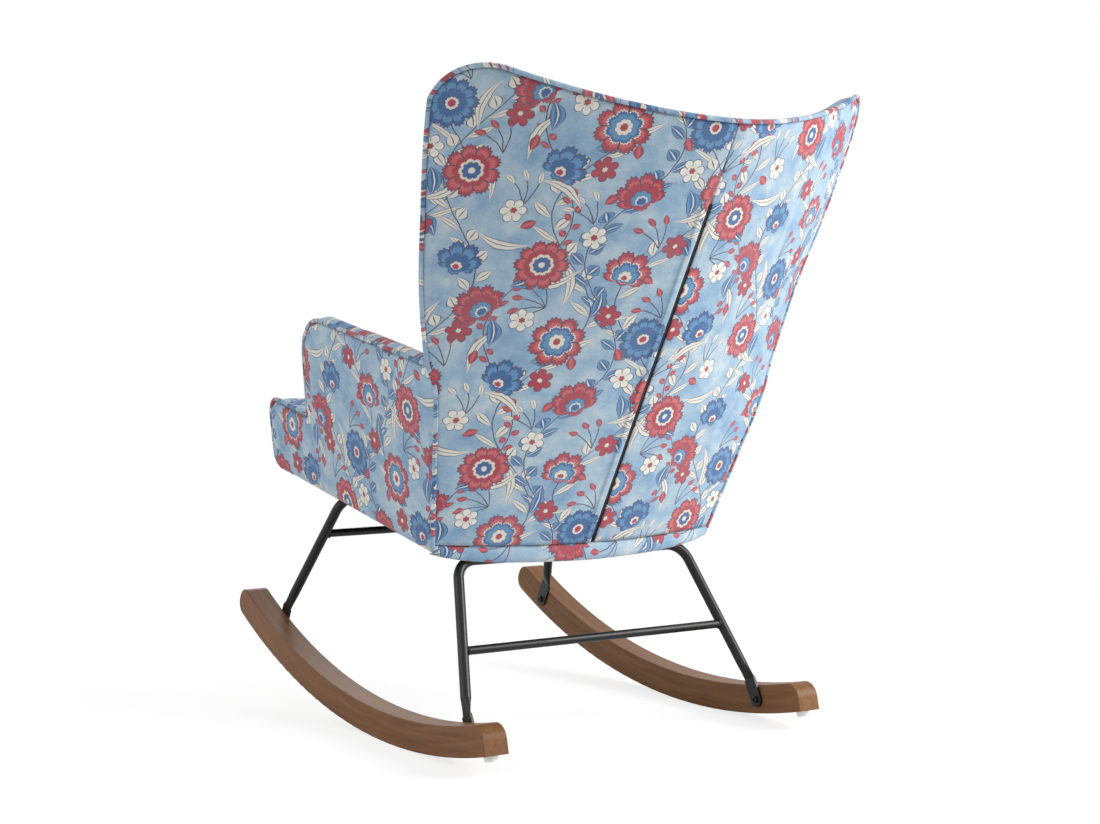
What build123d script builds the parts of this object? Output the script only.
from build123d import *
import os
from math import asin, atan2, cos, hypot, pi, radians, sin, sqrt, tan

# A wing-back rocking armchair, in millimetres. The floor is Z = 0, the sitter faces -Y and +X is the
# sitter's left. The origin is on the floor, midway between the points where the two rockers touch it.

# Rockers
rocker_spacing = 562.0
rocker_width = 40.0
rocker_height = 45.0
rocker_radius = 1125.0
rocker_front_reach = 543.0
rocker_rear_reach = 265.0
rocker_nose_round = 20.0
rocker_tail_round = 24.0
rocker_edge_round = 2.0

# Stop pads under the rear ends of the rockers
pad_from_end = 17.0
pad_top_diameter = 21.0
pad_foot_diameter = 17.0
pad_height = 8.0
pad_peg_diameter = 6.0
pad_peg_length = 10.0

# Bolts, threaded inserts and tee nuts
bolt_diameter = 6.0
bolt_head_diameter = 11.0
bolt_head_height = 3.6
bolt_head_round = 1.6
bolt_socket = 4.0
bolt_socket_depth = 2.0
bolt_gap = 0.2
insert_diameter = 9.0
insert_length = 15.0
insert_engagement = 13.0
tee_flange_diameter = 18.0
tee_flange_thickness = 1.5
tee_barrel_diameter = 8.0
tee_barrel_length = 9.0

# Leg frames and stretchers
tube_diameter = 16.0
tube_wall = 1.5
tube_bend_radius = 35.0
leg_top_half_width = 207.0
front_bolt_reach = -451.0
rear_bolt_reach = 164.0
tab_thickness = 4.0
tab_width = 24.0
tab_length = 34.0
tab_taper_length = 26.0
front_tube_reach = 411.0
rear_tube_reach = 38.0
stretcher_diameter = 13.0
front_stretcher_height = 276.0
rear_stretcher_height = 148.0
weld_gap = 0.02

# Plates that join the leg frames to the seat
plate_thickness = 4.0
plate_width = 62.0
plate_depth = 42.0
plate_half_spacing = 125.0
plate_bolt_near = 18.0
plate_bolt_pitch = 34.0

# Seat. The seat and all the upholstery are drawn on a pitched plane: X across, Y back and Z up from it.
seat_pitch = 10.5
seat_rear_y = 75.0
seat_rear_z = 275.0
side_half_width = 250.0
side_flare = 10.5
dust_cover_thickness = 1.0
rail_height = 55.0
rail_thickness = 20.0
leg_rail_thickness = 25.0
leg_rail_depth = 56.0
leg_rail_set_in = 5.0
rear_rail_reach = 75.0
bracket_room = 2.0
strap_width = 50.0
strap_thickness = 1.2
long_strap_count = 4
long_strap_pitch = 92.0
cross_strap_count = 5
cross_strap_pitch = 85.0
cross_strap_first = 130.0
foam_thickness = 45.0
foam_rear_reach = 82.0
seat_front_reach = 588.0
seat_front_padding = 24.0
seat_side_height = 122.0
seat_crown = 28.0
seat_roll_steps = 4
seat_crown_shares = (0.2, 0.4, 0.6, 0.8, 1.0)
seat_end_draw = 0.2

# Sides and arms
cover_thickness = 4.0
cover_low_edge = 4.0
cover_front_set_in = 4.0
cover_front_round = 34.0
arm_height = 290.0
arm_front_reach = 437.0
arm_front_lean = 9.0
arm_corner_round = 75.0
arm_thickness = 50.0
arm_crown = 6.0
arm_inner_round = 14.0
arm_room_gap = 2.0
arm_frame_thickness = 10.0
arm_frame_inset = 16.0
arm_rear_reach = 80.0
piping_diameter = 7.0
piping_sink = 3.0
back_piping_sink = 1.5
back_piping_ease = 0.15

# Back. Each station is a height above the seat plane, how far the wing stands out past the flared side
# there, and how far back its edge lies.
back_stations = [
    (17.0, 0.0, -34.0),
    (150.0, 0.0, -8.0),
    (258.0, 0.0, 10.0),
    (300.0, 6.0, 2.0),
    (390.0, 9.0, 6.0),
    (530.0, 8.0, 31.0),
    (640.0, 2.7, 50.0),
    (770.0, -19.0, 76.0),
]
back_foot = 2.0
back_recline = 19.7
back_mid_drop = 0.31
back_thickness = 75.0
wing_thickness = 50.0
back_cover_thickness = 3.0
back_cover_inset = 1.0
back_shell_thickness = 12.0
back_pad_inset = 2.0
back_top_centre = 674.5
back_top_radius = 1170.0
back_tip_round = 70.0
back_top_steps = 3
border_height = 16.0
border_thickness = 12.0

# Back frame
hoop_diameter = 16.0
hoop_depth = 32.0
hoop_share = 0.72
hoop_drop = 42.0
hoop_top_steps = 4
hoop_sag_room = 5.0
hoop_room_gap = 2.0
back_bar_height = 30.0
back_bar_thickness = 3.0
back_bar_level = 80.0
back_strap_thickness = 1.5
back_strap_first = 160.0
back_strap_pitch = 110.0
back_strap_count = 4
bracket_thickness = 3.0
bracket_width = 28.0
bracket_depth = 60.0
bracket_bolt_inset = 12.0
bracket_bolt_pitch = 20.0
bracket_bolt_length = 22.0

# Zip
zip_low = 17.0
zip_length = 573.0
zip_strip_half = 16.0
zip_slot_half = 4.0
zip_tape_width = 14.0
zip_tape_thickness = 0.8
zip_chain_half = 1.8
zip_chain_height = 1.8
zip_stop_length = 3.0
zip_stop_extra = 0.4
slider_length = 12.0
slider_half_width = 3.2
slider_plate = 1.1
slider_bridge_height = 1.8
slider_bridge_width = 2.6
slider_bridge_inset = 3.0
slider_eye_inset = 4.5
slider_gap = 0.3

# Room left between neighbours
soft_gap = 0.3
MIDDLE = Align.CENTER
LOW = Align.MIN
HIGH = Align.MAX

flare = radians(side_flare)
pitch = radians(seat_pitch)
recline = radians(back_recline)
piping_radius = piping_diameter / 2
rocker_inner = rocker_spacing / 2 - rocker_width / 2
rocker_middle = rocker_radius - rocker_height / 2
front_angle = -asin(rocker_front_reach / rocker_radius)
rear_angle = asin(rocker_rear_reach / rocker_radius)
seat_frame_front = seat_front_reach - seat_front_padding
cover_front_reach = seat_front_reach - cover_front_set_in
rail_low = dust_cover_thickness
rail_top = rail_low + rail_height
leg_rail_top = rail_low + leg_rail_thickness
rail_depth = cover_thickness + soft_gap + arm_frame_thickness
strap_top = rail_top + 2 * strap_thickness
foam_low = strap_top + soft_gap
foam_top = foam_low + foam_thickness
tube_level = -plate_thickness - tube_diameter / 2
back_pad_start = leg_rail_top + bracket_thickness + bolt_head_height + soft_gap
shell_depth = back_cover_thickness + soft_gap
pad_back_depth = shell_depth + back_shell_thickness + soft_gap

seat_plane = Plane(origin=(0, seat_rear_y, seat_rear_z), x_dir=(1, 0, 0), z_dir=(0, sin(pitch), cos(pitch)))
side_plane = Plane(origin=(side_half_width, 0, 0), x_dir=(0, 1, 0), z_dir=(cos(flare), 0, -sin(flare)))


def both_sides(left):
    """A left-hand piece and its mirror image, as one group."""
    return Compound([*left.solids(), *mirror(left, about=Plane.YZ).solids()])


def block(x_range, back_range, up_range):
    """Box between two limits on each axis."""
    size = [high - low for low, high in (x_range, back_range, up_range)]
    return Pos(x_range[0], back_range[0], up_range[0]) * Box(*size, align=(LOW, LOW, LOW))


def rod(start, end, radius):
    """Round bar from one point to another."""
    line = Line(start, end)
    return extrude(Plane(origin=line @ 0, z_dir=line % 0) * Circle(radius), amount=line.length)


def tube_along(path, radius):
    """Round bar along a path."""
    return sweep(Plane(origin=path @ 0, z_dir=path % 0) * Circle(radius), path=path)


def easy_radii(points, share=0.45):
    """Bend radius for each inner point of a route, as large as its two runs allow."""
    radii = []
    for before, here, after in zip(points, points[1:], points[2:]):
        first = Vector(*here) - Vector(*before)
        second = Vector(*after) - Vector(*here)
        half_turn = radians(first.get_angle(second)) / 2
        radii.append(share * min(first.length, second.length) / tan(half_turn))
    return radii


# Rockers, their inserts and bolts


def rocker_point(radius, angle):
    """Point of a rocker arc as (Y, Z); the angle runs back from the floor contact."""
    return (radius * sin(angle), rocker_radius - radius * cos(angle))


def rocker_arc(radius, start, end):
    """Arc about the rockers' common centre."""
    return ThreePointArc(*[rocker_point(radius, angle) for angle in (start, (start + end) / 2, end)])


def bolt_place(reach):
    """Where a leg bolt crosses the middle of the rocker's height, as (Y, Z)."""
    return (reach, rocker_radius - sqrt(rocker_middle**2 - reach**2))


def rocker_left_blank():
    """Bent plank with its bullnosed front and its rear end rounded on top."""
    bottom = rocker_arc(rocker_radius, front_angle, rear_angle)
    top = rocker_arc(rocker_radius - rocker_height, rear_angle, front_angle)
    face = make_face([bottom, Line(bottom @ 1, top @ 0), top, Line(top @ 1, bottom @ 0)])
    face = fillet(face.vertices().sort_by(Axis.X)[:2], rocker_nose_round)
    tail = face.vertices().sort_by(Axis.X)[-2:].sort_by(Axis.Y)[-1]
    face = fillet(tail, rocker_tail_round)
    plank = extrude(Plane.YZ.offset(rocker_inner) * face, amount=rocker_width)
    sides = plank.faces().sort_by(Axis.X)
    return fillet(sides[0].edges() + sides[-1].edges(), rocker_edge_round)


def pad_place():
    """Local frame of the left stop pad: on the rocker's bottom, pointing down and out of the arc."""
    angle = asin((rocker_rear_reach - pad_from_end) / rocker_radius)
    y, z = rocker_point(rocker_radius, angle)
    return Plane(origin=(rocker_spacing / 2, y, z), x_dir=(1, 0, 0), z_dir=(0, sin(angle), -cos(angle)))


def rocker_left():
    """Rocker with blind holes for its inserts and for the stop pad's peg."""
    wood = rocker_left_blank()
    for reach in (front_bolt_reach, rear_bolt_reach):
        y, z = bolt_place(reach)
        hole = rod((rocker_inner, y, z), (rocker_inner + insert_length + bolt_gap, y, z),
                   insert_diameter / 2 + bolt_gap)
        wood -= hole
    peg_hole = Cylinder(pad_peg_diameter / 2 + bolt_gap, pad_peg_length + bolt_gap,
                        align=(MIDDLE, MIDDLE, HIGH))
    return wood - pad_place() * peg_hole


def insert_left():
    """Threaded sleeves in the left rocker."""
    sleeves = []
    for reach in (front_bolt_reach, rear_bolt_reach):
        y, z = bolt_place(reach)
        ends = (rocker_inner, y, z), (rocker_inner + insert_length, y, z)
        sleeves += (rod(*ends, insert_diameter / 2) - rod(*ends, bolt_diameter / 2 + bolt_gap)).solids()
    return Compound(sleeves)


def stop_pad_left():
    """Tapered round pad with a push-in peg."""
    disc = Cone(pad_top_diameter / 2, pad_foot_diameter / 2, pad_height, align=(MIDDLE, MIDDLE, LOW))
    peg = Cylinder(pad_peg_diameter / 2, pad_peg_length, align=(MIDDLE, MIDDLE, HIGH))
    return pad_place() * (disc + peg)


def button_bolt(length):
    """Button-head bolt along +Z, its head below Z = 0, with a hex socket."""
    head = Cylinder(bolt_head_diameter / 2, bolt_head_height, align=(MIDDLE, MIDDLE, HIGH))
    head = fillet(head.faces().sort_by(Axis.Z)[0].edges(), bolt_head_round)
    socket = Pos(0, 0, -bolt_head_height) * RegularPolygon(bolt_socket / 2, 6, major_radius=False)
    head -= extrude(socket, amount=bolt_socket_depth)
    return head + Cylinder(bolt_diameter / 2, length, align=(MIDDLE, MIDDLE, LOW))


def rocker_bolts_left():
    """Bolts through the flattened leg ends into the left rocker."""
    bolts = []
    for reach in (front_bolt_reach, rear_bolt_reach):
        y, z = bolt_place(reach)
        bolt = button_bolt(tab_thickness + insert_engagement)
        bolts += (Pos(rocker_inner - tab_thickness, y, z) * Rot(0, 90, 0) * bolt).solids()
    return Compound(bolts)


# Leg frames and stretchers


def leg_points(bolt_reach, tube_reach):
    """Bolt centre, end of the flat tab, start of the round tube and top corner of a left leg."""
    foot = Vector(rocker_inner - tab_thickness / 2, *bolt_place(bolt_reach))
    corner = seat_plane.from_local_coords((leg_top_half_width, -tube_reach, tube_level))
    along = corner - foot
    flat = Vector(0, along.Y, along.Z).normalized()
    tab_end = foot + flat * tab_length
    start = tab_end + (corner - tab_end).normalized() * tab_taper_length
    return foot, flat, tab_end, start, corner


def leg_tab(bolt_reach, tube_reach):
    """Flattened, drilled lower end of a left leg, with its change from flat to round."""
    foot, flat, tab_end, start, corner = leg_points(bolt_reach, tube_reach)
    tab_plane = Plane(origin=foot, x_dir=flat, z_dir=(1, 0, 0))
    strip = Rectangle(tab_length, tab_width, align=(LOW, MIDDLE)) + Circle(tab_width / 2)
    tab = extrude(tab_plane * strip, amount=tab_thickness / 2, both=True)
    flat_end = Plane(origin=tab_end, x_dir=(1, 0, 0), z_dir=flat) * Ellipse(tab_thickness / 2, tab_width / 2)
    round_end = Plane(origin=start, x_dir=(1, 0, 0), z_dir=corner - start) * Circle(tube_diameter / 2)
    hole = extrude(tab_plane * Circle(bolt_diameter / 2 + bolt_gap), amount=tab_thickness, both=True)
    return tab + loft([flat_end, round_end]) - hole


def leg_frame(bolt_reach, tube_reach):
    """Inverted U of tube whose flattened ends stand against the rockers' inner faces."""
    start, corner = leg_points(bolt_reach, tube_reach)[3:]
    right = [Vector(-point.X, point.Y, point.Z) for point in (corner, start)]
    path = FilletPolyline(start, corner, *right, radius=tube_bend_radius)
    tube = tube_along(path, tube_diameter / 2) - tube_along(path, tube_diameter / 2 - tube_wall)
    tab = leg_tab(bolt_reach, tube_reach)
    return tube + tab + mirror(tab, about=Plane.YZ)


def stretcher(bolt_reach, tube_reach, height):
    """Cross tube between the two legs of a frame, its ends shaped to the legs."""
    start, corner = leg_points(bolt_reach, tube_reach)[3:]
    end = start + (corner - start) * ((height - start.Z) / (corner.Z - start.Z))
    outer = rod((-end.X, end.Y, end.Z), (end.X, end.Y, end.Z), stretcher_diameter / 2)
    bore = rod((-end.X, end.Y, end.Z), (end.X, end.Y, end.Z), stretcher_diameter / 2 - tube_wall)
    leg = rod(start, corner, tube_diameter / 2 + weld_gap)
    return outer - bore - leg - mirror(leg, about=Plane.YZ)


def plate_bolt_places(tube_reach):
    """Centres of one leg frame's bolts on the seat plane, left side only."""
    back = -tube_reach - plate_bolt_near
    return [(plate_half_spacing + side * plate_bolt_pitch / 2, back) for side in (-1, 1)]


def mount_plate(tube_reach):
    """Drilled plate welded on top of a leg frame's cross tube, left side only."""
    rear = -tube_reach + tube_diameter / 2
    half = plate_width / 2
    plate = block((plate_half_spacing - half, plate_half_spacing + half), (rear - plate_depth, rear),
                  (-plate_thickness, 0))
    for x, back in plate_bolt_places(tube_reach):
        plate -= Pos(x, back, 0) * Cylinder(bolt_diameter / 2 + bolt_gap, 3 * plate_thickness)
    return plate


all_plate_bolts = plate_bolt_places(front_tube_reach) + plate_bolt_places(rear_tube_reach)


def seat_bolts_left():
    """Bolts up through the plates into the tee nuts, left side only."""
    bolt = button_bolt(plate_thickness + leg_rail_top)
    return Compound([(Pos(x, back, -plate_thickness) * bolt).solid() for x, back in all_plate_bolts])


def tee_nuts_left():
    """Tee nuts on top of the leg rails, left side only."""
    flange = Cylinder(tee_flange_diameter / 2, tee_flange_thickness, align=(MIDDLE, MIDDLE, LOW))
    barrel = Cylinder(tee_barrel_diameter / 2, tee_barrel_length, align=(MIDDLE, MIDDLE, HIGH))
    bore = Cylinder(bolt_diameter / 2 + bolt_gap, 4 * tee_barrel_length)
    nut = flange + barrel - bore
    return Compound([(Pos(x, back, leg_rail_top) * nut).solid() for x, back in all_plate_bolts])


# Seat frame, webbing and foam


def side_width(up, depth=0.0):
    """Half the width between the flared sides at a height, each set in by depth."""
    return side_half_width + up * tan(flare) - depth / cos(flare)


def between_sides(depth):
    """Space between the two flared sides, each set in by depth."""
    low, high = -rail_height, arm_height
    corners = [(-side_width(low, depth), low), (side_width(low, depth), low),
               (side_width(high, depth), high), (-side_width(high, depth), high)]
    outline = make_face(Polyline(*corners, close=True))
    return extrude(Plane.XZ * outline, amount=2 * seat_front_reach, both=True)


def side_slab(outline, depth, thickness):
    """Left-hand board parallel to the flared side, set in from it by depth."""
    return extrude(side_plane.offset(-depth) * outline, amount=-thickness)


def on_side(back, up):
    """Point of the flared side as drawn on it, from its place on the seat plane."""
    return (back, up / cos(flare))


def seat_side_rail():
    """Left rail of the seat frame."""
    ends = (-seat_frame_front, -arm_rear_reach)
    board = between_sides(rail_depth) - between_sides(rail_depth + rail_thickness)
    return board & block((0, 2 * side_half_width), ends, (rail_low, rail_top))


inside_rails = between_sides(rail_depth + rail_thickness)
wide = (-side_half_width, side_half_width)


def seat_cross_rail(front, rear, up_range):
    """Rail from one side rail to the other."""
    return block(wide, (-front, -rear), up_range) & inside_rails


def leg_rail(tube_reach):
    """Flat plank over a leg frame's plates, drilled for the tee nuts."""
    rear = tube_reach + leg_rail_set_in
    plank = seat_cross_rail(rear + leg_rail_depth, rear, (rail_low, leg_rail_top))
    for x, back in plate_bolt_places(tube_reach):
        for side in (x, -x):
            plank -= Pos(side, back, 0) * Cylinder(tee_barrel_diameter / 2 + bolt_gap, 4 * leg_rail_thickness)
    return plank


def seat_rear_rail():
    """Upright rail on the rear leg rail, short of the brackets that hold the back."""
    half = bracket_range()[0][0] - bracket_room
    along = (-rear_rail_reach - rail_thickness, -rear_rail_reach)
    return block((-half, half), along, (leg_rail_top, rail_top))


def seat_webbing_long():
    """Straps from the front rail to the rear rail."""
    first = -long_strap_pitch * (long_strap_count - 1) / 2
    straps = []
    for index in range(long_strap_count):
        middle = first + index * long_strap_pitch
        straps.append(block((middle - strap_width / 2, middle + strap_width / 2),
                            (-seat_frame_front, -rear_rail_reach), (rail_top, rail_top + strap_thickness)))
    return Compound([strap.solid() for strap in straps])


def seat_webbing_cross():
    """Straps from side rail to side rail, over the long ones."""
    inside_frames = between_sides(rail_depth)
    straps = []
    for index in range(cross_strap_count):
        rear = -cross_strap_first - index * cross_strap_pitch
        strap = block(wide, (rear - strap_width, rear), (rail_top + strap_thickness, strap_top))
        straps += (strap & inside_frames).solids()
    return Compound(straps)


def dust_cover():
    """Thin cloth under the seat frame, with holes for the bolts."""
    half = side_width(0, rail_depth)
    rear = rear_tube_reach + leg_rail_set_in
    sheet = block((-half, half), (-seat_frame_front, -rear), (0, dust_cover_thickness)) & inside_rails
    for x, back in all_plate_bolts:
        for side in (x, -x):
            sheet -= Pos(side, back, 0) * Cylinder(bolt_diameter / 2 + bolt_gap, 4 * dust_cover_thickness)
    return sheet


# Shape of the back, as sections at heights above the seat plane


def edge_at(up):
    """Half width of the back and the place of its wing edge at a height."""
    pairs = list(zip(back_stations, back_stations[1:]))
    low, high = next((pair for pair in pairs if up <= pair[1][0]), pairs[-1])
    share = (up - low[0]) / (high[0] - low[0])
    out, back = [low[i] + share * (high[i] - low[i]) for i in (1, 2)]
    return side_width(up) + out, back


def centre_back(up):
    """Place of the outer back's straight centre line at a height."""
    return back_foot + up * tan(recline)


def half_arc(up):
    """Circle of the outer back's left half at a height: centre, radius, start angle and end angle."""
    half, edge = edge_at(up)
    middle = centre_back(up)
    ax, ay = zip_strip_half, middle
    bx, by = half / 2, middle - back_mid_drop * (middle - edge)
    cx, cy = half, edge
    turn = 2 * (ax * (by - cy) + bx * (cy - ay) + cx * (ay - by))
    squares = [x * x + y * y for x, y in ((ax, ay), (bx, by), (cx, cy))]
    x = (squares[0] * (by - cy) + squares[1] * (cy - ay) + squares[2] * (ay - by)) / turn
    y = (squares[0] * (cx - bx) + squares[1] * (ax - cx) + squares[2] * (bx - ax)) / turn
    return (x, y), hypot(ax - x, ay - y), atan2(ax - x, ay - y), atan2(cx - x, cy - y)


def shell_point(up, share, depth=0.0, past=0.0):
    """Point of the left half at a height: share 0 at the zip strip, 1 at the wing edge, set in by depth.

    past moves it further along the arc, as a length."""
    (x, y), radius, start, end = half_arc(up)
    angle = start + share * (end - start) + past / radius
    return (x + (radius - depth) * sin(angle), y + (radius - depth) * cos(angle))


def outer_back_at(x, up):
    """How far back the outer surface lies at a place across and a height."""
    if abs(x) <= zip_strip_half:
        return centre_back(up)
    (cx, cy), radius, start, end = half_arc(up)
    return cy + sqrt(radius**2 - (abs(x) - cx) ** 2)


def flip(point):
    """Mirror image of a section point."""
    return (-point[0], point[1])


def cover_section(up, depth, thickness, past):
    """Left half of a skin that follows the outer back, from the centre line to near the wing edge."""
    outer = [shell_point(up, share, depth, past * share) for share in (0, 0.5, 1)]
    inner = [shell_point(up, share, depth + thickness, past * share) for share in (1, 0.5, 0)]
    seam = (weld_gap, centre_back(up) - depth)
    seam_inside = (weld_gap, centre_back(up) - depth - thickness)
    edges = [Line(seam, outer[0]), ThreePointArc(*outer), Line(outer[2], inner[0]),
             ThreePointArc(*inner), Line(inner[2], seam_inside), Line(seam_inside, seam)]
    return Plane.XY.offset(up) * make_face(edges)


def pad_section(up, gap=0.0, behind=0.0):
    """Whole section of the padding in front of the shell; gap makes it larger, behind only outwards."""
    depth = pad_back_depth - gap - behind
    past = gap - back_pad_inset
    outer = [shell_point(up, share, depth, past * share) for share in (1, 0.5, 0)]
    inner = shell_point(up, 1, wing_thickness + gap, past)
    front = (0, centre_back(up) - back_thickness - gap)
    edges = [ThreePointArc(*outer), Line(outer[2], flip(outer[2])),
             ThreePointArc(*[flip(point) for point in reversed(outer)]),
             Line(flip(outer[0]), flip(inner)), ThreePointArc(flip(inner), front, inner),
             Line(inner, outer[0])]
    return Plane.XY.offset(up) * make_face(edges)


def levels_from(low):
    """Heights of the back's sections from a lowest one up."""
    return [low] + [station[0] for station in back_stations if station[0] > low]


def top_edge(x):
    """Height of the back's dipped top edge at a place across."""
    return back_top_centre + back_top_radius - sqrt(back_top_radius**2 - x**2)


tip_x = edge_at(back_stations[-1][0])[0]


def below_top(drop):
    """Space under the back's dipped top edge with its rounded tips, lowered by drop."""
    tip_up = top_edge(tip_x)
    top = ThreePointArc((-tip_x, tip_up - drop), (0, back_top_centre - drop), (tip_x, tip_up - drop))
    bottom = back_stations[0][0]
    edges = [top, Line(top @ 1, (tip_x, bottom)), Line((tip_x, bottom), (-tip_x, bottom)),
             Line((-tip_x, bottom), top @ 0)]
    outline = make_face(edges)
    tips = outline.vertices().sort_by(Axis.Y)[-2:]
    return extrude(Plane.XZ * fillet(tips, back_tip_round), amount=seat_front_reach, both=True)


def back_envelope(gap):
    """Padded back grown by gap, and out past its covers, for cutting what meets it."""
    behind = wing_thickness
    return loft([pad_section(up, gap, behind) for up in levels_from(back_pad_start - gap)], ruled=True)


# Back frame, webbing and brackets


def hoop_route():
    """Route of the back frame's hoop: up one side, across under the top edge and down the other."""
    side = [(*shell_point(up, hoop_share, hoop_depth), up)
            for up in (leg_rail_top + bracket_thickness, back_stations[2][0], back_stations[4][0])]
    corner_up = top_edge(0) - hoop_drop
    shares = [hoop_share * step / hoop_top_steps for step in range(hoop_top_steps, 0, -1)]
    left = side + [(*shell_point(corner_up, share, hoop_depth), corner_up) for share in shares]
    centre = (0, centre_back(corner_up) - hoop_depth, corner_up)
    return left + [centre] + [(-x, back, up) for x, back, up in reversed(left)]


hoop_path = FilletPolyline(*hoop_route(), radius=easy_radii(hoop_route()))
hoop_clear = tube_along(hoop_path, hoop_diameter / 2 + soft_gap)


def back_hoop():
    """Bent tube that carries the back."""
    tube = tube_along(hoop_path, hoop_diameter / 2) - tube_along(hoop_path, hoop_diameter / 2 - tube_wall)
    return tube - block(wide, (-seat_front_reach, seat_front_reach), (0, leg_rail_top + bracket_thickness))


def band_section(up, depth, thickness, past=0.0, reach=hoop_share):
    """Section of a band across the back, following its curve, as wide as the hoop; past widens it."""
    outer = [shell_point(up, share * reach, depth, share * past) for share in (1, 0.5, 0)]
    inner = [shell_point(up, share * reach, depth + thickness, share * past) for share in (0, 0.5, 1)]
    edges = [ThreePointArc(*outer), Line(outer[2], flip(outer[2])),
             ThreePointArc(*[flip(point) for point in reversed(outer)]), Line(flip(outer[0]), flip(inner[2])),
             ThreePointArc(*[flip(point) for point in reversed(inner)]), Line(flip(inner[0]), inner[0]),
             ThreePointArc(*inner), Line(inner[2], outer[0])]
    return Plane.XY.offset(up) * make_face(edges)


def back_band(level, height, thickness):
    """Flat band across the hoop, as slanted as the back."""
    band = loft([band_section(up, hoop_depth, thickness) for up in (level, level + height)], ruled=True)
    return band - hoop_clear


def back_straps():
    """Elastic straps across the hoop."""
    straps = []
    for index in range(back_strap_count):
        level = back_strap_first + index * back_strap_pitch
        straps += back_band(level, strap_width, back_strap_thickness).solids()
    return Compound(straps)


def frame_room():
    """Flat pocket inside the padded back for the hoop, the bar and the straps, open at its foot."""
    half = hoop_diameter / 2 + hoop_room_gap
    depth = hoop_depth - half
    levels = [leg_rail_top, back_stations[2][0], back_stations[4][0], top_edge(0) - hoop_drop + half]
    return loft([band_section(up, depth, 2 * half + hoop_sag_room, half) for up in levels], ruled=True)


def bracket_range():
    """Place of the left bracket: its limits across and from front to back."""
    x, back = shell_point(leg_rail_top + bracket_thickness, hoop_share, hoop_depth)
    rear = back + hoop_diameter / 2
    return (x - bracket_width / 2, x + bracket_width / 2), (rear - bracket_depth, rear)


def bracket_bolt_places():
    """Bolt centres of the left bracket."""
    across, along = bracket_range()
    x = sum(across) / 2
    first = along[0] + bracket_bolt_inset
    return [(x, first), (x, first + bracket_bolt_pitch)]


def bracket_left():
    """Plate on the rear leg rail that carries a foot of the hoop."""
    plate = block(*bracket_range(), (leg_rail_top, leg_rail_top + bracket_thickness))
    for x, back in bracket_bolt_places():
        plate -= Pos(x, back, leg_rail_top) * Cylinder(bolt_diameter / 2 + bolt_gap, 4 * bracket_thickness)
    return plate


def bracket_bolts_left():
    """Bolts that hold the left bracket down."""
    bolt = Rot(180, 0, 0) * button_bolt(bracket_bolt_length)
    top = leg_rail_top + bracket_thickness
    return Compound([(Pos(x, back, top) * bolt).solid() for x, back in bracket_bolt_places()])


def bracket_holes():
    """Holes for the bracket bolts on both sides, for drilling the rear leg rail."""
    length = bracket_bolt_length - bracket_thickness + bolt_gap
    hole = Cylinder(bolt_diameter / 2 + bolt_gap, length, align=(MIDDLE, MIDDLE, HIGH))
    holes = [(Pos(x, back, leg_rail_top) * hole).solid() for x, back in bracket_bolt_places()]
    return both_sides(Compound(holes))


# Zip on the outer back's centre line

zip_plane = Plane(origin=(0, centre_back(zip_low), zip_low), x_dir=(0, sin(recline), cos(recline)),
                  z_dir=(0, cos(recline), -sin(recline)))
tape_top = -back_cover_thickness * cos(recline) - weld_gap
chain_top = tape_top + zip_chain_height


def zip_tape(side):
    """Woven tape under one cover panel; side is 1 or -1."""
    near = weld_gap * side
    far = zip_tape_width * side
    return zip_plane * block((0, zip_length), sorted((near, far)), (tape_top - zip_tape_thickness, tape_top))


def zip_chain():
    """Closed row of teeth between the two stops."""
    along = (zip_stop_length, zip_length - zip_stop_length)
    return zip_plane * block(along, (-zip_chain_half, zip_chain_half), (tape_top, chain_top))


def zip_stops():
    """Small clips at both ends of the chain."""
    half = zip_chain_half + zip_stop_extra
    ends = [(0, zip_stop_length), (zip_length - zip_stop_length, zip_length)]
    return Compound([(zip_plane * block(end, (-half, half), (tape_top, chain_top + zip_stop_extra))).solid()
                     for end in ends])


def zip_slider():
    """Slider astride the chain, at the lower end of its travel, with a small bridge and no pull."""
    start = zip_stop_length + slider_gap
    along = (start, start + slider_length)
    under = chain_top + slider_gap
    across = (-slider_half_width, slider_half_width)
    body = block(along, across, (tape_top + slider_gap, under + slider_plate))
    inner = zip_chain_half + slider_gap
    body -= block((0, zip_length), (-inner, inner), (tape_top, under))
    crown = under + slider_plate
    bridge = block((along[0] + slider_bridge_inset, along[1] - slider_bridge_inset),
                   (-slider_bridge_width / 2, slider_bridge_width / 2), (crown, crown + slider_bridge_height))
    eye = block((along[0] + slider_eye_inset, along[1] - slider_eye_inset), across,
                (crown, crown + slider_bridge_height / 2))
    return zip_plane * (body + (bridge - eye))


def zip_slot():
    """Gap between the two cover panels along the zip."""
    high = slider_plate + slider_bridge_height + back_cover_thickness
    through = (-2 * back_cover_thickness, high)
    return zip_plane * block((0, zip_length), (-zip_slot_half, zip_slot_half), through)


def zip_recess():
    """Shallow room in the shell under the tapes."""
    half = zip_tape_width + soft_gap
    low = tape_top - zip_tape_thickness - soft_gap
    return zip_plane * block((-soft_gap, zip_length + soft_gap), (-half, half), (low, 0))


# Covers and pads


def back_piping_route():
    """Route of the piping round the back: up the left wing, over the top, down the right wing."""
    stand_out = piping_radius - back_piping_sink
    left = [(*shell_point(station[0], 1, 0, stand_out), station[0]) for station in back_stations[:-1]]
    tip_up = top_edge(tip_x) + stand_out
    left.append((tip_x + stand_out, outer_back_at(tip_x, tip_up), tip_up))
    for step in range(back_top_steps - 1, 0, -1):
        x = tip_x * step / back_top_steps
        up = top_edge(x) + stand_out
        left.append((x, outer_back_at(x, up), up))
    up = top_edge(0) + stand_out
    return left + [(0, centre_back(up), up)] + [(-x, back, up) for x, back, up in reversed(left)]


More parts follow.
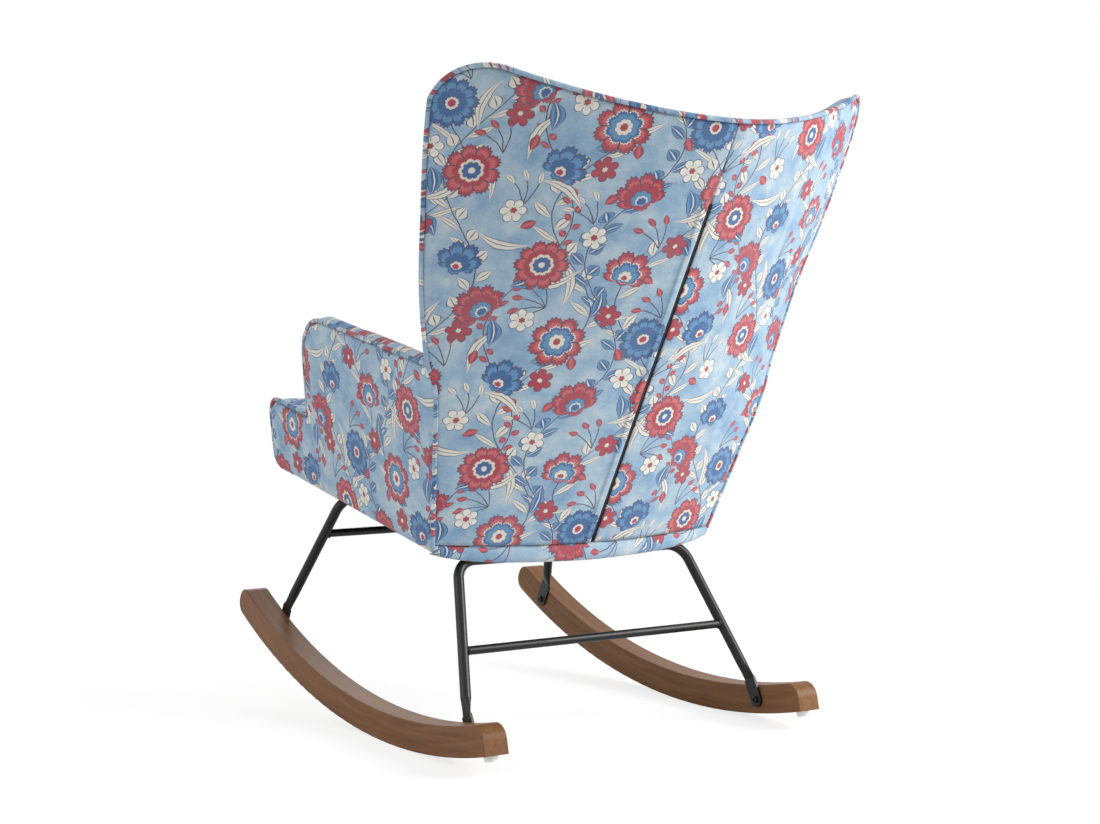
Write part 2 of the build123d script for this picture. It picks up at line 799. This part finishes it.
def back_piping_radii():
    """Bend radii of that route: the tips' own round, and small easy bends elsewhere."""
    radii = easy_radii(back_piping_route(), back_piping_ease)
    tip = len(back_stations) - 2
    radii[tip] = back_tip_round
    radii[-1 - tip] = back_tip_round
    return radii


back_piping_path = FilletPolyline(*back_piping_route(), radius=back_piping_radii())
back_piping_clear = tube_along(back_piping_path, piping_radius + soft_gap)


def outer_back_left():
    """Left panel of the outer back cover, with its edge of the zip slot."""
    levels = levels_from(back_stations[0][0])
    skin = loft([cover_section(up, 0, back_cover_thickness, -back_cover_inset) for up in levels], ruled=True)
    return (skin & below_top(back_cover_inset)) - zip_slot() - back_piping_clear


def back_shell():
    """Moulded plywood shell of the back and its wings, with a shallow recess for the zip."""
    sections = [band_section(up, shell_depth, back_shell_thickness, -back_pad_inset, 1)
                for up in levels_from(back_pad_start)]
    return (loft(sections, ruled=True) & below_top(back_pad_inset)) - zip_recess()


def back_pad():
    """Padding of the back and its wings, with a pocket for the frame."""
    pad = loft([pad_section(up) for up in levels_from(back_pad_start)], ruled=True)
    return (pad & below_top(back_pad_inset)) - frame_room()


def rear_border():
    """Curved band along the lower edge of the back."""
    up = back_stations[0][0]
    half = cover_section(up, 0, border_thickness, -piping_radius)
    flat = Pos(0, 0, -up) * half
    return extrude(flat + mirror(flat, about=Plane.YZ), amount=border_height)


def arm_front_at(up):
    """Place of the arm's leaning front edge at a height."""
    return arm_front_lean * (up - seat_side_height) / (arm_height - seat_side_height) - arm_front_reach


def arm_corner(inset):
    """Top front corner of the arm on the flared side, set in by inset."""
    top = arm_height - inset
    return on_side(arm_front_at(top) + inset, top)


def side_outline(inset):
    """Outline of the left side: arm above, seat side in front, set in by inset on its welted edges."""
    front = -cover_front_reach + inset
    seat_top = seat_side_height - inset
    arm_top = arm_height - inset
    seam_levels = (cover_low_edge, back_stations[2][0], arm_top)
    seam = [on_side(edge_at(up)[1] - piping_diameter, up) for up in seam_levels]
    corners = [on_side(front, cover_low_edge), *seam, arm_corner(inset),
               on_side(arm_front_at(seat_top) + inset, seat_top), on_side(front, seat_top)]
    outline = make_face(Polyline(*corners, close=True))
    outline = fillet(outline.vertices().sort_by_distance(corners[4])[0], arm_corner_round - inset)
    for corner in (corners[0], corners[6]):
        outline = fillet(outline.vertices().sort_by_distance(corner)[0], cover_front_round - inset)
    return outline


def side_cover_left(back_cut):
    """One panel over the outside of the arm and the side of the seat."""
    panel = side_slab(side_outline(piping_radius + soft_gap), 0, cover_thickness)
    return panel - back_cut - seat_piping_clear


def arm_outline(grow, low, rear):
    """Outline of the arm alone, from a height up and a place behind; grow moves its top and front out."""
    corners = [on_side(arm_front_at(low) - grow, low), on_side(rear, low), on_side(rear, arm_height + grow),
               arm_corner(-grow)]
    outline = make_face(Polyline(*corners, close=True))
    return fillet(outline.vertices().sort_by_distance(corners[3])[0], arm_corner_round + grow)


arm_rear = edge_at(arm_height)[1]
arm_low = strap_top + soft_gap
pad_depth = piping_sink + piping_radius + soft_gap


def arm_frame_left():
    """Plywood panel of the left arm."""
    outline = arm_outline(-arm_frame_inset, rail_low, -arm_rear_reach)
    return side_slab(outline, cover_thickness + soft_gap, arm_frame_thickness)


def arm_frame_room():
    """Room for the arm frame inside the arm pad."""
    outline = arm_outline(soft_gap - arm_frame_inset, -rail_low, -arm_rear_reach + soft_gap)
    return side_slab(outline, 0, cover_thickness + arm_frame_thickness + 2 * soft_gap)


def arm_pad_left(back_cut):
    """Padded arm: crowned along its top and front, and rounded on the inside."""
    middle = (pad_depth + arm_thickness) / 2
    layers = [(pad_depth, 0.0), (middle, arm_crown), (arm_thickness, -arm_inner_round)]
    pad = loft([side_plane.offset(-depth) * arm_outline(grow, arm_low, arm_rear) for depth, grow in layers])
    return pad - arm_frame_room() - back_cut


def arm_room():
    """Room that the left arm takes out of the seat cushion and its foam."""
    outline = arm_outline(arm_crown + arm_room_gap, -rail_height, arm_rear)
    return side_slab(outline, -soft_gap, arm_thickness + 2 * soft_gap)


def arm_piping_left(back_cut):
    """Piping along the arm's outer edge: from the back along the top and down the front."""
    low = seat_side_height + piping_diameter
    points = [on_side(arm_rear, arm_height), arm_corner(0), on_side(arm_front_at(low), low)]
    path = FilletPolyline(*points, radius=arm_corner_round)
    return tube_along(side_plane.offset(-piping_sink) * path, piping_radius) - back_cut


def seat_piping_path():
    """Line of the left seat piping: from the arm forward, round the front edge of the side and under it."""
    start = arm_front_at(seat_side_height) - arm_crown
    end = -cover_front_reach + 2 * cover_front_round
    points = [on_side(start, seat_side_height), on_side(-cover_front_reach, seat_side_height),
              on_side(-cover_front_reach, cover_low_edge), on_side(end, cover_low_edge)]
    return side_plane.offset(-piping_sink) * FilletPolyline(*points, radius=cover_front_round)


seat_piping_left = tube_along(seat_piping_path(), piping_radius)
seat_piping_clear = tube_along(seat_piping_path(), piping_radius + soft_gap)


def seat_section(back, shrink):
    """Section of the seat cushion across X at a place from front to back, drawn in by shrink."""
    low = cover_low_edge / 2 + shrink
    high = seat_side_height - shrink
    depth = cover_thickness + soft_gap + seat_end_draw * shrink
    share = (back + seat_front_reach) / seat_front_reach
    crown = seat_crown * sin(pi / 4 + share * pi / 2) * (1 - shrink / seat_side_height)
    corners = [(-side_width(low, depth), low), (side_width(low, depth), low), (side_width(high, depth), high)]
    top = ThreePointArc(corners[2], (0, high + crown), (-corners[2][0], high))
    edges = [Polyline(*corners), top, Line(top @ 1, corners[0])]
    return Plane(origin=(0, back, 0), x_dir=(1, 0, 0), z_dir=(0, -1, 0)) * make_face(edges)


def seat_cushion(arm_cuts, back_cut):
    """Crowned seat with its rolled front, hollow underneath for the frame and the foam."""
    roll = cover_front_round
    turns = [index * pi / 2 / seat_roll_steps for index in range(seat_roll_steps + 1)]
    sections = []
    for turn in turns:
        sections.append(seat_section(roll * (1 - cos(turn)) - seat_front_reach, roll * (1 - sin(turn))))
    for share in seat_crown_shares:
        sections.append(seat_section((share - 1) * seat_front_reach, 0))
    cushion = loft(sections, ruled=True)
    hollow = between_sides(rail_depth - soft_gap)
    hollow = hollow & block((-2 * side_half_width, 2 * side_half_width), (-seat_frame_front - soft_gap, 0),
                            (-rail_height, foam_top + soft_gap))
    cushion = cushion - hollow - seat_piping_clear - mirror(seat_piping_clear, about=Plane.YZ) - back_cut
    for cut in arm_cuts:
        cushion -= cut
    return cushion


def seat_foam(arm_cuts, back_cut):
    """Firm foam block on the webbing."""
    foam = block((-2 * side_half_width, 2 * side_half_width), (-seat_frame_front, -foam_rear_reach),
                 (foam_low, foam_top)) & between_sides(rail_depth + soft_gap)
    for cut in arm_cuts:
        foam -= cut
    return foam - back_cut


def build_nodes():
    """Every piece under its own name; those drawn on the seat plane are placed on it."""
    back_cut = back_envelope(soft_gap)
    arm_cut = arm_room()
    arm_cuts = [arm_cut, mirror(arm_cut, about=Plane.YZ)]
    side_rail = seat_side_rail()
    side_cover = side_cover_left(back_cut)
    arm_frame = arm_frame_left()
    arm_pad = arm_pad_left(back_cut)
    arm_piping = arm_piping_left(back_cut)
    cover = outer_back_left()
    front_rail_back = seat_frame_front - rail_thickness
    rear_leg_rail = leg_rail(rear_tube_reach) - bracket_holes()
    on_seat = {
        "front_mount_plates": both_sides(mount_plate(front_tube_reach)),
        "rear_mount_plates": both_sides(mount_plate(rear_tube_reach)),
        "seat_bolts": both_sides(seat_bolts_left()),
        "seat_tee_nuts": both_sides(tee_nuts_left()),
        "dust_cover": dust_cover(),
        "seat_side_rail_left": side_rail,
        "seat_side_rail_right": mirror(side_rail, about=Plane.YZ),
        "seat_front_rail": seat_cross_rail(seat_frame_front, front_rail_back, (rail_low, rail_top)),
        "seat_rear_rail": seat_rear_rail(),
        "front_leg_rail": leg_rail(front_tube_reach),
        "rear_leg_rail": rear_leg_rail,
        "seat_webbing_long": seat_webbing_long(),
        "seat_webbing_cross": seat_webbing_cross(),
        "seat_foam": seat_foam(arm_cuts, back_cut),
        "seat_cushion": seat_cushion(arm_cuts, back_cut),
        "seat_piping_left": seat_piping_left,
        "seat_piping_right": mirror(seat_piping_left, about=Plane.YZ),
        "side_cover_left": side_cover,
        "side_cover_right": mirror(side_cover, about=Plane.YZ),
        "arm_frame_left": arm_frame,
        "arm_frame_right": mirror(arm_frame, about=Plane.YZ),
        "arm_pad_left": arm_pad,
        "arm_pad_right": mirror(arm_pad, about=Plane.YZ),
        "arm_piping_left": arm_piping,
        "arm_piping_right": mirror(arm_piping, about=Plane.YZ),
        "rear_border": rear_border(),
        "back_hoop": back_hoop(),
        "back_bar": back_band(back_bar_level, back_bar_height, back_bar_thickness),
        "back_webbing": back_straps(),
        "back_brackets": both_sides(bracket_left()),
        "back_bracket_bolts": both_sides(bracket_bolts_left()),
        "back_shell": back_shell(),
        "back_pad": back_pad(),
        "outer_back_left": cover,
        "outer_back_right": mirror(cover, about=Plane.YZ),
        "back_piping": tube_along(back_piping_path, piping_radius),
        "zip_tape_left": zip_tape(1),
        "zip_tape_right": zip_tape(-1),
        "zip_chain": zip_chain(),
        "zip_stops": zip_stops(),
        "zip_slider": zip_slider(),
    }
    rocker = rocker_left()
    on_floor = {
        "rocker_left": rocker,
        "rocker_right": mirror(rocker, about=Plane.YZ),
        "rocker_inserts": both_sides(insert_left()),
        "rocker_bolts": both_sides(rocker_bolts_left()),
        "rear_stop_pads": both_sides(stop_pad_left()),
        "front_leg_frame": leg_frame(front_bolt_reach, front_tube_reach),
        "rear_leg_frame": leg_frame(rear_bolt_reach, rear_tube_reach),
        "front_stretcher": stretcher(front_bolt_reach, front_tube_reach, front_stretcher_height),
        "rear_stretcher": stretcher(rear_bolt_reach, rear_tube_reach, rear_stretcher_height),
    }
    placed = {name: seat_plane.location * piece for name, piece in on_seat.items()}
    return {**on_floor, **placed}


os.makedirs("parts", exist_ok=True)
for name, piece in build_nodes().items():
    export_step(piece, f"parts/{name}.step")
